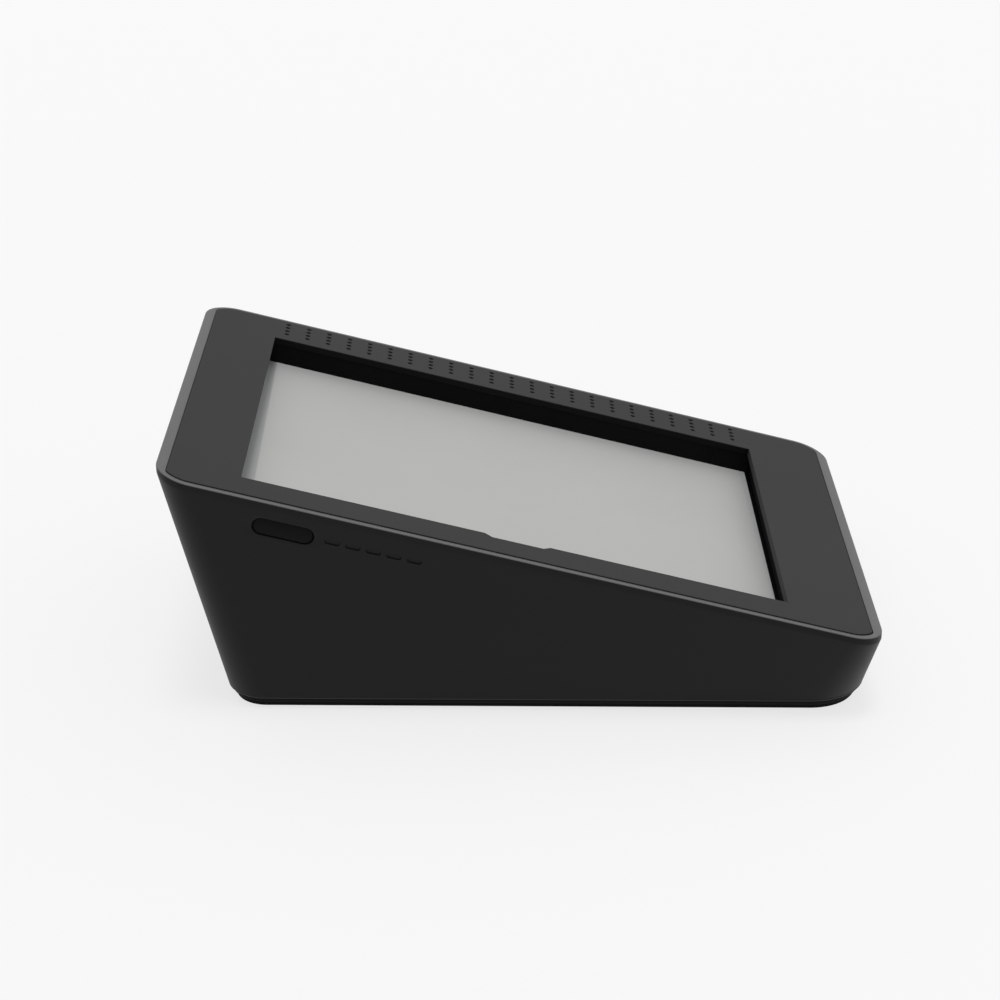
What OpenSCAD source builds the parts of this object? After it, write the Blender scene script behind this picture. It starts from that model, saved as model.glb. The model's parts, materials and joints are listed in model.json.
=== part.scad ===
// Countertop smart display: a tablet-style screen in a wedge-shaped enclosure.
// The low edge faces the user (-Y), the high edge is the back (+Y), and +Z is up.
// The origin is on the table, under the middle of the body.

/* [Wedge body] */
// Length of the sloping top, from the low edge to the high edge
top_len = 300; // [298:1:304]
// Width of the sloping top
top_w = 202; // [200:1:206]
// Corner radius of the sloping top, in plan
top_r = 15; // [14:1:22]
// Slope of the top, in degrees
slope = 14.3; // [13.5:0.1:15]
// Height of the middle of the top above the table
mid_h = 73.7; // [72:0.1:80]
// Height of the upright band under the rim
band_h = 3; // [2:0.5:7]
// Thickness of the body's walls
wall = 3; // [2.5:0.1:3.5]
// How far the low wall leans in towards the table
low_lean = 3; // [1:0.5:6]
// How far the high wall leans in towards the table
high_lean = 22; // [18:1:26]
// How far each side wall leans in at the low end
side_lean_low = 10; // [8:0.5:11]
// How far each side wall leans in at the high end
side_lean_high = 13; // [10:0.5:16]
// Corner radius of the bottom outline at the low end
foot_r_low = 24; // [18:1:28]
// Corner radius of the bottom outline at the high end
foot_r_high = 17; // [14:1:22]

/* [Rim and faceplate] */
// Width of the rim at the low and high ends
rim_end = 4.5; // [4:0.1:5]
// Width of the rim along the two sides
rim_side = 2.4; // [2.2:0.1:3]
// Gap between the rim and the faceplate
plate_gap = 0.4; // [0.3:0.05:0.6]
// Thickness of the faceplate
plate_t = 3; // [2.5:0.1:3.5]
// How far the faceplate stands above the rim
plate_proud = 0.5; // [0:0.1:1]
// Width of the ledge under the faceplate along the sides
ledge_side = 3; // [2:0.1:3]
// Width of the ledge under the faceplate at the ends
ledge_end = 12; // [11:0.5:13]

/* [Window and sound holes] */
// Length of the window
win_len = 226.5; // [224:0.5:228]
// Width of the window
win_w = 158.2; // [156:0.2:159]
// Sideways place of the window's middle
win_x = -4.2; // [-5:0.1:-3.5]
// Lengthways place of the window's middle
win_y = 3; // [2:0.1:4]
// Length of the camera notch at its mouth
notch_len = 27; // [20:1:34]
// Depth of the camera notch
notch_d = 2.3; // [1.5:0.1:3]
// Rows of sound holes, across the side bar
hole_rows = 4; // [3:1:4]
// Columns of sound holes, along the side bar
hole_cols = 23; // [12:1:23]
// Distance between the columns
col_pitch = 9.74; // [8:0.01:9.8]
// Distance between the rows
row_pitch = 4.07; // [3.5:0.01:4.1]
// Diameter of a sound hole
hole_d = 2.2; // [1.6:0.1:2.4]

/* [Screen unit] */
// Length of the screen unit
unit_len = 248.6; // [246:0.2:250]
// Width of the screen unit
unit_w = 179.5; // [177:0.5:180]
// Thickness of the screen unit
unit_t = 7; // [6.5:0.1:7.5]
// Depth of the glass below the faceplate's top
glass_depth = 12; // [11:0.5:13]
// Length of the picture area
picture_len = 229; // [228:0.5:232]
// Width of the picture area
picture_w = 160; // [159:0.5:162]

/* [Side button] */
// Length of the pill-shaped button
button_len = 25; // [22:0.5:28]
// Height of the pill-shaped button
button_h = 7.8; // [7:0.2:10]
// How far the button's face lies below the wall's surface
button_recess = 0.7; // [0.5:0.1:1.2]

/* [Underside] */
// Thickness of the steel base plate
base_t = 2.3; // [1.5:0.1:2.4]
// Thickness of the anti-slip mat
mat_t = 2.5; // [1.5:0.1:2.5]
// Spacing of the four counter-fixing holes
fix_pitch = 100; // [75:25:100]
// Diameter of the counter-fixing holes
fix_d = 4.5; // [4:0.1:5]

/* [Hidden] */
$fn = 64;
eps = 0.02;

// Sloping frame: the origin is the middle of the rim's top plane, +Y runs up the slope.
rise = sin(slope);
run = cos(slope);
// Half of the sloping top's length as seen from above
half_run = top_len / 2 * run;

// Levels in the sloping frame
plate_top = plate_proud;
plate_bottom = plate_proud - plate_t;
ledge_t = 3;
glass_top = plate_top - glass_depth;
glass_t = 0.8;
mask_t = 0.2;
panel_t = 2;
unit_bottom = glass_top - unit_t;
pad_t = 2;
tray_top = unit_bottom - pad_t;
tray_t = 1.5;
tray_bottom = tray_top - tray_t;

// Rim opening
open_w = top_w - 2 * rim_side;
open_len = top_len - 2 * rim_end;
open_r = top_r - rim_side;
// The faceplate sits a little towards the left and the high end of its recess
plate_shift = [-0.2, 0.2];

// Bottom outline of the walls
foot_z = base_t + mat_t;
foot_low = -half_run + low_lean;
foot_high = half_run - high_lean;
foot_w_low = top_w - 2 * side_lean_low;
foot_w_high = top_w - 2 * side_lean_high;
// Bevel round the walls' bottom edge: its height and how far it goes in
foot_edge = 1.2;
foot_bevel = 0.8;
// How far the base plate and the mat are drawn in from the bottom outline
base_inset = 2;
mat_inset = 3.4;

// Width of the bottom outline at a given y
function foot_w_at(y) =
    foot_w_low + (foot_w_high - foot_w_low) * (y - foot_low) / (foot_high - foot_low);

// High wall: its angle from upright, and a point on it at a given height
high_top_z = mid_h + top_len / 2 * rise - band_h;
high_angle = atan(high_lean / (high_top_z - foot_z));
function high_wall_y(z) = half_run - (high_top_z - z) * tan(high_angle);

// Base fixings
boss_inset = 9.5;
boss_r = 4.5;
boss_h = 11;
insert_r = 2.3;
insert_h = 7;
screw_r = 1.4;
boss_ys = [-116, -12, 92];

// Magnets and their keepers, in two rows at the ends
magnet_xs = [-70, 0, 70];
magnet_y = open_len / 2 - 6.5;
magnet_r = 4;
magnet_t = 1.8;
keeper_t = 1.2;

// Side button, centred on the pill in the left wall
button_y = 95.3;
button_z = 86.6;
button_travel = 1;
// How far the left wall has leaned in at the button's height
button_rim_z = mid_h + button_y * tan(slope) - band_h;
button_lean = side_lean_high * (button_rim_z - button_z) / (button_rim_z - foot_z);
button_wall_x = -top_w / 2 + button_lean;
button_face_x = button_wall_x + button_recess;
button_fit = 0.3;
flange_t = 0.8;
flange_edge = 1.5;
flange_x = button_wall_x + 1.7;
// The frame that keeps the button in, behind its flange
retainer_x = flange_x + flange_t + button_travel + 0.1;
retainer_t = 0.6;
retainer_end = 6;
retainer_side = 2;

// Cable outlet in the high wall
grommet_z = 30;
grommet_r = 9;
cable_r = 4;
// Security slot in the high wall
slot_x = 62;
slot_z = 34;

// Tray, clips and brackets
tray_w = 150;
tray_len = 269;
clip_xs = [win_x - 36, win_x + 36];
clip_w = 16;
bracket_w = 120;
bracket_t = 1.5;
low_bracket_y = -92;
high_bracket_y = 84;
bracket_foot = 16;
bracket_hole_x = 48;
// Each bracket's profile stands on the base plate and ends in a flange parallel to the slope
flange_len = 16;
function tray_under_z(y) = mid_h + y * tan(slope) + tray_bottom / run;
// Lengthways places of the flanges' holes, measured along the slope
tray_fix_ys = [
    for (y = [low_bracket_y, high_bracket_y])
        ((y + flange_len / 2) * run + (tray_under_z(y + flange_len / 2) - mid_h) * rise)
];

// Z-shaped clips that hold the screen unit down by its two short ends
clip_t = 1.2;
clip_gap = 0.3;
clip_lip = 3;
clip_base = 7;
clip_screw_y = 4.6;

// Saddle clips on the base plate for a charging lead
saddle_places = [[-30, 60], [-30, 10], [-30, -50]];

// Sound holes and the cloth behind them
holes_x = 88.1;
holes_y = 4.3;
mesh_t = 0.5;
mesh_w = 14.6;

// How far the gasket's opening is larger than the window, at the sides and at the ends
gasket_edge = 0.25;
gasket_end = 3.4;

// Screen unit's inside
unit_r = 16;
panel_top = glass_top - glass_t - mask_t;
housing_floor = 1;
housing_wall = 1.2;
camera_x = -unit_w / 2 + 5.2;

// Screen unit's side key and end key
side_key_y = 93;
end_key_x = 58;
key_len = 20;
key_h = 2.2;
key_z = 2.9;
key_travel = 0.3;
key_stand = 0.35;

// The button's nib, which reaches the side key through the wall
key_tip_x = win_x - unit_w / 2 - key_stand;
// At full travel the button has pushed the key in by the key's own travel
nib_gap = button_travel - key_travel;
nib_len = 12;
nib_h = 2;
// The key lies lower than the pill's middle
nib_drop = (button_z - mid_h) * run - button_y * rise - unit_bottom - key_z;

// Places children in the sloping frame
module on_slope() {
    translate([0, 0, mid_h])
        rotate([slope, 0, 0])
            children();
}

// Places children on the high wall's outer face, +Z pointing out of it
module on_high_wall(x, z) {
    translate([x, high_wall_y(z), z])
        rotate([-90 - high_angle, 0, 0])
            children();
}

// The recess outline, drawn in by gap: it follows the rim's corners and is cut square at the ends
module recess_slab(gap, h) {
    intersection() {
        slab(open_w - 2 * gap, top_len - 2 * rim_side - 2 * gap, open_r - gap, h);
        translate([-top_w / 2, -open_len / 2 + gap, 0])
            cube([top_w, open_len - 2 * gap, h]);
    }
}

// A flat plate with rounded corners, w along X and l along Y, from z = 0 up
module slab(w, l, r, h) {
    linear_extrude(h) {
        square([w - 2 * r, l], center = true);
        square([w, l - 2 * r], center = true);
        for (x = [-1, 1], y = [-1, 1])
            translate([x * (w / 2 - r), y * (l / 2 - r)])
                circle(r);
    }
}

// Thin discs at the corners of a rounded rectangle, for a hull to join
module corner_discs(w, l, r) {
    for (x = [-1, 1], y = [-1, 1])
        translate([x * (w / 2 - r), y * (l / 2 - r), -eps])
            cylinder(r = r, h = eps, $fn = 48);
}

// Discs at the corners of the bottom outline, drawn in by inset, for a hull to join
module foot_discs(inset, h) {
    for (s = [-1, 1]) {
        translate([s * (foot_w_low / 2 - foot_r_low), foot_low + foot_r_low])
            cylinder(r = foot_r_low - inset, h = h, $fn = 48);
        translate([s * (foot_w_high / 2 - foot_r_high), foot_high - foot_r_high])
            cylinder(r = foot_r_high - inset, h = h, $fn = 48);
    }
}

// The body's outside as one solid
module outer_form() {
    hull() {
        for (drop = [0, band_h])
            translate([0, 0, -drop])
                on_slope()
                    corner_discs(top_w, top_len, top_r);
        translate([0, 0, foot_z + foot_edge])
            foot_discs(0, eps);
        translate([0, 0, foot_z])
            foot_discs(foot_bevel, eps);
    }
}

// The hollow inside the walls, open at the bottom
module inner_form() {
    hull() {
        on_slope()
            translate([0, 0, plate_bottom - ledge_t])
                corner_discs(top_w - 2 * wall, top_len - 2 * wall, top_r - wall);
        translate([0, 0, foot_z - 1])
            foot_discs(wall, eps);
    }
}

// A pill-shaped bar along X from x0 to x1, its long side parallel to the rim
module pill(length, height, x0, x1, drop = 0) {
    translate([x0, button_y, button_z])
        rotate([slope, 0, 0])
            translate([0, 0, -drop])
                rotate([0, 90, 0])
                    linear_extrude(x1 - x0) {
                        square([height, length - height], center = true);
                        for (s = [-1, 1])
                            translate([0, s * (length - height) / 2])
                                circle(height / 2);
                    }
}

module base_bosses(r, z0, h) {
    for (y = boss_ys, s = [-1, 1])
        translate([s * (foot_w_at(y) / 2 - boss_inset), y, z0])
            cylinder(r = r, h = h);
}

// Ribs that tie the bosses to the side walls
module boss_ribs() {
    rib_t = 3;
    rib_len = boss_inset + side_lean_low;
    intersection() {
        outer_form();
        for (y = boss_ys, s = [-1, 1])
            translate([
                s * (foot_w_at(y) / 2 - boss_inset + rib_len / 2) - rib_len / 2, y - rib_t / 2, foot_z
            ])
                cube([rib_len, rib_t, boss_h]);
    }
}

// Everything on the magnet centres, in the sloping frame
module at_magnets(z) {
    on_slope()
        for (x = magnet_xs, s = [-1, 1])
            translate([x, s * magnet_y, z])
                children();
}

module base_shell() {
    color([0.14, 0.14, 0.145])
        difference() {
            union() {
                difference() {
                    outer_form();
                    inner_form();
                    on_slope() {
                        // recess for the faceplate
                        translate([0, 0, plate_bottom])
                            recess_slab(0, plate_t + 5);
                        // opening inside the ledge
                        translate([0, 0, plate_bottom - ledge_t - 1])
                            slab(open_w - 2 * ledge_side, open_len - 2 * ledge_end, 6, ledge_t + 2);
                    }
                }
                base_bosses(boss_r, foot_z, boss_h);
                boss_ribs();
            }
            base_bosses(insert_r, foot_z - 1, insert_h + 1.5);
            at_magnets(plate_bottom - keeper_t)
                cylinder(r = magnet_r + 0.1, h = 5);
            pill(button_len, button_h, button_wall_x - 10, button_wall_x + wall + 4);
            // pockets for the button's flange and its retainer
            pill(
                button_len + 2 * (flange_edge + button_fit), button_h + 2 * (flange_edge + button_fit),
                flange_x - 0.05, flange_x + 8
            );
            pill(
                button_len + 2 * retainer_end + 0.6, button_h + 2 * retainer_side + 0.6,
                retainer_x - 0.05, retainer_x + 8
            );
            at_retainer_screws(button_wall_x + 1.8)
                cylinder(r = 1.05, h = 8);
            on_high_wall(0, grommet_z)
                translate([0, 0, -wall - 5])
                    cylinder(r = grommet_r, h = wall + 10);
            on_high_wall(slot_x, slot_z)
                translate([-5, -3.5, -wall - 5])
                    cube([10, 7, wall + 10]);
        }
}

module base_plate() {
    color([0.09, 0.09, 0.1])
        difference() {
            translate([0, 0, mat_t])
                hull()
                    foot_discs(base_inset, base_t);
            base_bosses(screw_r + 0.3, mat_t - 1, base_t + 2);
            at_fix_holes()
                cylinder(r = fix_d / 2, h = base_t + 2);
            at_bracket_feet(mat_t - 1)
                cylinder(r = screw_r, h = base_t + 2);
        }
}

module at_fix_holes() {
    for (x = [-1, 1], y = [-1, 1])
        translate([x * fix_pitch / 2, y * fix_pitch / 2, mat_t - 1])
            children();
}

module at_bracket_feet(z) {
    for (x = [-1, 1] * bracket_hole_x, y = [low_bracket_y, high_bracket_y])
        translate([x, y + bracket_foot / 2 + 1, z])
            children();
}

module anti_slip_mat() {
    color([0.05, 0.05, 0.055])
        difference() {
            hull()
                foot_discs(mat_inset, mat_t);
            base_bosses(3.6, -1, mat_t + 2);
            at_fix_holes()
                translate([0, 0, -mat_t])
                    cylinder(r = 6, h = mat_t + 4);
            at_bracket_feet(-1)
                cylinder(r = 3.6, h = mat_t + 2);
        }
}

module threaded_inserts() {
    color([0.72, 0.58, 0.3])
        difference() {
            base_bosses(insert_r, foot_z + 0.1, insert_h - 0.1);
            base_bosses(screw_r + 0.05, foot_z - 1, insert_h + 2);
        }
}

// A pan-head screw: the head hangs below z = 0 and the shank runs up
module screw(length, head_r = 2.7, head_h = 1.5, shank_r = screw_r) {
    difference() {
        union() {
            translate([0, 0, -head_h])
                cylinder(r = head_r, h = head_h);
            cylinder(r = shank_r, h = length);
        }
        translate([0, 0, -head_h - 1])
            cylinder(r = 1.1, h = 1.9, $fn = 6);
    }
}

module base_screws() {
    color([0.3, 0.3, 0.31])
        for (y = boss_ys, s = [-1, 1])
            translate([s * (foot_w_at(y) / 2 - boss_inset), y, mat_t])
                screw(base_t + 6);
}

module faceplate() {
    color([0.25, 0.25, 0.255])
        difference() {
            on_slope()
                translate([plate_shift[0], plate_shift[1], plate_bottom])
                    recess_slab(plate_gap, plate_t);
            on_slope() {
                translate([win_x - win_w / 2, win_y - win_len / 2, plate_bottom - 1])
                    cube([win_w, win_len, plate_t + 2]);
                camera_notch();
                sound_holes();
            }
            at_magnets(plate_bottom - 1)
                cylinder(r = magnet_r + 0.1, h = magnet_t + 1.1);
        }
}

// A shallow tapered notch in the window's left edge, for the camera behind it
module camera_notch() {
    translate([win_x - win_w / 2, win_y, plate_bottom - 1])
        linear_extrude(plate_t + 2)
            polygon([
                [1, -notch_len / 2], [1, notch_len / 2], [0, notch_len / 2],
                [-notch_d, notch_len / 2 - 3], [-notch_d, -notch_len / 2 + 3], [0, -notch_len / 2]
            ]);
}

module sound_holes() {
    for (i = [0 : hole_cols - 1], j = [0 : hole_rows - 1])
        translate([
            holes_x + (j - (hole_rows - 1) / 2) * row_pitch,
            holes_y + (i - (hole_cols - 1) / 2) * col_pitch,
            plate_bottom - 1
        ])
            cylinder(d = hole_d, h = plate_t + 2);
}

module acoustic_mesh() {
    color([0.03, 0.03, 0.03])
        on_slope()
            translate([
                holes_x - mesh_w / 2 - 0.4, holes_y - hole_cols * col_pitch / 2, plate_bottom - mesh_t
            ])
                cube([mesh_w, hole_cols * col_pitch, mesh_t]);
}

module window_gasket() {
    x0 = win_x - unit_w / 2 + 2;
    x1 = win_x + win_w / 2 + 4.3;
    y0 = win_y - unit_len / 2 + 4;
    y1 = win_y + unit_len / 2 - 4;
    gasket_t = plate_bottom - glass_top;
    color([0.03, 0.03, 0.032])
        on_slope()
            translate([0, 0, glass_top])
                difference() {
                    translate([x0, y0, 0])
                        cube([x1 - x0, y1 - y0, gasket_t]);
                    translate([
                        win_x - win_w / 2 - gasket_edge, win_y - win_len / 2 - gasket_end, -1
                    ])
                        cube([win_w + 2 * gasket_edge, win_len + 2 * gasket_end, gasket_t + 2]);
                    // pocket that clears the camera notch
                    translate([win_x - win_w / 2 - 3.5, win_y - notch_len / 2 - 1, -1])
                        cube([4, notch_len + 2, gasket_t + 2]);
                }
}

module faceplate_magnets() {
    color([0.7, 0.7, 0.72])
        at_magnets(plate_bottom + 0.05)
            cylinder(r = magnet_r, h = magnet_t - 0.05);
}

module magnet_keepers() {
    color([0.55, 0.55, 0.57])
        at_magnets(plate_bottom - keeper_t)
            cylinder(r = magnet_r, h = keeper_t - 0.05);
}

// Screen unit: everything below is placed about its own middle on the slope
module in_unit(z) {
    on_slope()
        translate([win_x, win_y, z])
            children();
}

module cover_glass() {
    color([0.7, 0.71, 0.7])
        in_unit(glass_top - glass_t)
            slab(unit_w - 0.6, unit_len - 0.6, unit_r - 0.3, glass_t);
}

module bezel_mask() {
    color([0.02, 0.02, 0.02])
        in_unit(glass_top - glass_t - mask_t)
            difference() {
                slab(unit_w - 4, unit_len - 4, unit_r - 2, mask_t);
                translate([-picture_w / 2, -picture_len / 2, -1])
                    cube([picture_w, picture_len, mask_t + 2]);
                // clear spot over the camera
                translate([camera_x, 0, -1])
                    cylinder(r = 2, h = mask_t + 2);
            }
}

module display_panel() {
    color([0.71, 0.71, 0.7])
        in_unit(panel_top - panel_t)
            translate([-picture_w / 2 - 1, -picture_len / 2 - 1, 0])
                cube([picture_w + 2, picture_len + 2, panel_t]);
}

module unit_housing() {
    color([0.6, 0.61, 0.62])
        in_unit(unit_bottom)
            difference() {
                slab(unit_w, unit_len, unit_r, unit_t - glass_t);
                translate([0, 0, housing_floor])
                    slab(
                        unit_w - 2 * housing_wall, unit_len - 2 * housing_wall,
                        unit_r - housing_wall, unit_t
                    );
                // slots for the side key, the end key and the charging socket
                translate([-unit_w / 2 - 1, side_key_y - key_len / 2 - 0.2, key_z - key_h / 2 - 0.2])
                    cube([4, key_len + 0.4, key_h + 0.4]);
                translate([end_key_x - key_len / 2 - 0.2, unit_len / 2 - 3, key_z - key_h / 2 - 0.2])
                    cube([key_len + 0.4, 4, key_h + 0.4]);
                translate([-4.6, -unit_len / 2 - 1, key_z - 1.6])
                    cube([9.2, 4, 3.2]);
            }
}

module battery_cells() {
    color([0.12, 0.12, 0.13])
        in_unit(unit_bottom + housing_floor)
            for (s = [-1, 1])
                translate([s * 40 - 36, -80, 0])
                    cube([72, 150, 2.6]);
}

module logic_board() {
    color([0.08, 0.25, 0.16])
        in_unit(unit_bottom + housing_floor + 0.3) {
            translate([-60, 74, 0])
                cube([120, 26, 0.8]);
            for (i = [0 : 4])
                translate([-52 + i * 22, 79, 0.8])
                    cube([15, 15, 1.2]);
        }
}

module unit_speakers() {
    color([0.1, 0.1, 0.1])
        in_unit(unit_bottom + housing_floor)
            for (x = [-1, 1], y = [-1, 1])
                translate([x * 55 - 14, y * 109 - 8, 0])
                    cube([28, 16, 2.6]);
}

module front_camera() {
    color([0.05, 0.05, 0.07])
        in_unit(unit_bottom + housing_floor) {
            translate([camera_x - 3, -5, 0])
                cube([6, 10, 2.8]);
            translate([camera_x, 0, 2.8])
                cylinder(r = 1.8, h = 2.2);
        }
}

module charge_socket() {
    color([0.5, 0.5, 0.52])
        in_unit(unit_bottom + key_z)
            difference() {
                translate([-4.5, -unit_len / 2 + 0.2, -1.5])
                    cube([9, 7.5, 3]);
                translate([-4, -unit_len / 2 - 1, -1.1])
                    cube([8, 6.5, 2.2]);
                translate([-6, -unit_len / 2 + 8, -2])
                    cube([12, 2, 4]);
            }
}

module side_key() {
    color([0.62, 0.63, 0.64])
        in_unit(unit_bottom + key_z)
            translate([-unit_w / 2 - key_stand, side_key_y - key_len / 2, -key_h / 2])
                cube([key_stand + 1.6, key_len, key_h]);
}

module end_key() {
    color([0.62, 0.63, 0.64])
        in_unit(unit_bottom + key_z)
            translate([end_key_x - key_len / 2, unit_len / 2 - 1.6, -key_h / 2])
                cube([key_len, key_stand + 1.6, key_h]);
}

// Places children at the tray's bracket fixings, in the sloping frame
module at_tray_fixings(z) {
    on_slope()
        for (x = [-1, 1] * bracket_hole_x, y = tray_fix_ys)
            translate([x, y, z])
                children();
}

module unit_tray() {
    color([0.2, 0.2, 0.21])
        difference() {
            on_slope()
                translate([win_x, 0.5, tray_bottom])
                    difference() {
                        slab(tray_w, tray_len, 8, tray_t);
                        // lightening windows
                        for (y = [-62, 0, 62])
                            translate([-30, y - 20, -1])
                                cube([60, 40, tray_t + 2]);
                    }
            at_tray_fixings(tray_bottom - 1)
                cylinder(r = screw_r + 0.2, h = tray_t + 2);
            at_clip_screws(tray_bottom - 1)
                cylinder(r = screw_r, h = tray_t + 2);
        }
}

module bracket(y) {
    z_top = tray_under_z(y);
    flange_rise = flange_len * tan(slope);
    color([0.45, 0.46, 0.47])
        difference() {
            translate([-bracket_w / 2, y, 0])
                rotate([90, 0, 90])
                    linear_extrude(bracket_w)
                        polygon([
                            [0, foot_z], [bracket_foot, foot_z], [bracket_foot, foot_z + bracket_t],
                            [bracket_t, foot_z + bracket_t], [bracket_t, z_top - bracket_t * 1.2],
                            [flange_len, z_top + flange_rise - bracket_t * 1.2],
                            [flange_len, z_top + flange_rise - 0.01], [0, z_top - 0.01]
                        ]);
            at_bracket_feet(foot_z - 1)
                cylinder(r = screw_r + 0.2, h = bracket_t + 2);
            at_tray_fixings(tray_bottom - 4)
                cylinder(r = screw_r, h = 6);
            // opening for the lead in the bracket's web
            translate([-18, y - 1, foot_z + 6])
                cube([36, bracket_t + 2, max(6, z_top - foot_z - 16)]);
        }
}

module low_bracket() {
    bracket(low_bracket_y);
}

module high_bracket() {
    bracket(high_bracket_y);
}

module tray_screws() {
    color([0.5, 0.5, 0.52])
        at_tray_fixings(tray_top)
            rotate([180, 0, 0])
                screw(4, 2.4, pad_t - 0.6);
}

module bracket_screws() {
    color([0.5, 0.5, 0.52])
        at_bracket_feet(mat_t)
            screw(base_t + 3, 2.6, 1.4, screw_r - 0.02);
}

module foam_pads() {
    color([0.1, 0.1, 0.1])
        on_slope()
            for (y = [-108, -36, 36, 108])
                translate([win_x - 60, win_y + y - 7, tray_top])
                    cube([120, 14, pad_t]);
}

module at_clips() {
    on_slope()
        for (x = clip_xs, s = [0, 1])
            translate([x, win_y, 0])
                rotate([0, 0, 180 * s])
                    translate([0, unit_len / 2, 0])
                        children();
}

module end_clips() {
    color([0.3, 0.3, 0.31])
        difference() {
            at_clips()
                translate([-clip_w / 2, 0, 0])
                    rotate([90, 0, 90])
                        linear_extrude(clip_w)
                            polygon([
                                [-clip_lip, glass_top], [clip_gap, glass_top], [clip_gap, tray_top],
                                [clip_base, tray_top], [clip_base, tray_top + clip_t],
                                [clip_gap + clip_t, tray_top + clip_t],
                                [clip_gap + clip_t, glass_top + clip_t],
                                [-clip_lip, glass_top + clip_t]
                            ]);
            at_clip_screws(tray_top - 1)
                cylinder(r = screw_r + 0.1, h = clip_t + 2);
        }
}

module at_clip_screws(z) {
    at_clips()
        for (x = [-4, 4])
            translate([x, clip_screw_y, z])
                children();
}

module clip_screws() {
    color([0.5, 0.5, 0.52])
        at_clip_screws(tray_top + clip_t)
            rotate([180, 0, 0])
                screw(clip_t + tray_t + 1, 2, 1.2, screw_r - 0.02);
}

module side_button() {
    color([0.06, 0.06, 0.075]) {
        pill(button_len - 2 * button_fit, button_h - 2 * button_fit, button_face_x, flange_x);
        pill(
            button_len + 2 * flange_edge, button_h + 2 * flange_edge,
            flange_x - eps, flange_x + flange_t
        );
        pill(nib_len, nib_h, flange_x + flange_t - eps, key_tip_x - nib_gap, nib_drop);
    }
}

module button_retainer() {
    color([0.35, 0.35, 0.36])
        difference() {
            pill(
                button_len + 2 * retainer_end, button_h + 2 * retainer_side,
                retainer_x, retainer_x + retainer_t
            );
            pill(nib_len + 2, nib_h + 1.2, retainer_x - 1, retainer_x + retainer_t + 1, nib_drop);
            at_retainer_screws(retainer_x - 1)
                cylinder(r = 1.05, h = retainer_t + 2);
        }
}

// Places children at the retainer's two fixings, +Z pointing inwards
module at_retainer_screws(x) {
    translate([x, button_y, button_z])
        rotate([slope, 0, 0])
            for (s = [-1, 1])
                translate([0, s * (button_len / 2 + 3.6), 0])
                    rotate([0, 90, 0])
                        children();
}

module retainer_screws() {
    color([0.5, 0.5, 0.52])
        at_retainer_screws(retainer_x) {
            translate([0, 0, -1.6])
                cylinder(r = 1, h = retainer_t + 1.7);
            translate([0, 0, retainer_t])
                cylinder(r = 1.7, h = 0.6);
        }
}

module cable_grommet() {
    color([0.04, 0.04, 0.045])
        on_high_wall(0, grommet_z)
            difference() {
                union() {
                    translate([0, 0, -wall])
                        cylinder(r = grommet_r - 0.05, h = wall);
                    cylinder(r = grommet_r + 2, h = 1.2);
                    translate([0, 0, -wall - 1.4])
                        cylinder(r = grommet_r + 1.5, h = 1.4);
                }
                translate([0, 0, -wall - 3])
                    cylinder(r = cable_r, h = wall + 6);
            }
}

module at_cable_clips() {
    for (p = saddle_places)
        translate([p[0], p[1], foot_z])
            children();
}

module cable_clips() {
    color([0.8, 0.8, 0.78])
        at_cable_clips()
            difference() {
                translate([-4, -4, 0])
                    cube([18, 8, 6]);
                translate([0, -5, 3])
                    rotate([-90, 0, 0])
                        cylinder(r = 2, h = 10);
                translate([-5, -5, 2.4])
                    cube([5, 10, 1.2]);
                translate([4.6, -5, 1.5])
                    cube([10, 10, 6]);
                translate([9.5, 0, -1])
                    cylinder(r = 1.6, h = 5);
            }
}

module clip_rivets() {
    color([0.6, 0.6, 0.62])
        at_cable_clips()
            translate([9.5, 0, 0]) {
                cylinder(r = 1.5, h = 1.5);
                translate([0, 0, 1.5])
                    cylinder(r = 2.8, h = 1);
            }
}

// A steel plate behind the high wall with the standard 7 x 3 mm security slot
module lock_slot_insert() {
    color([0.5, 0.5, 0.52])
        on_high_wall(slot_x, slot_z)
            difference() {
                union() {
                    translate([-4.9, -3.4, -wall])
                        cube([9.8, 6.8, wall - 0.3]);
                    translate([-8, -7, -wall - 1.5])
                        cube([16, 14, 1.5]);
                }
                translate([-3.5, -1.5, -wall - 3])
                    cube([7, 3, wall + 6]);
            }
}

base_shell();
base_plate();
anti_slip_mat();
threaded_inserts();
base_screws();
faceplate();
acoustic_mesh();
window_gasket();
faceplate_magnets();
magnet_keepers();
cover_glass();
bezel_mask();
display_panel();
unit_housing();
battery_cells();
logic_board();
unit_speakers();
front_camera();
charge_socket();
side_key();
end_key();
unit_tray();
tray_screws();
foam_pads();
end_clips();
clip_screws();
low_bracket();
high_bracket();
bracket_screws();
side_button();
button_retainer();
retainer_screws();
cable_grommet();
cable_clips();
clip_rivets();
lock_slot_insert();
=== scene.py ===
import json
import math

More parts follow.
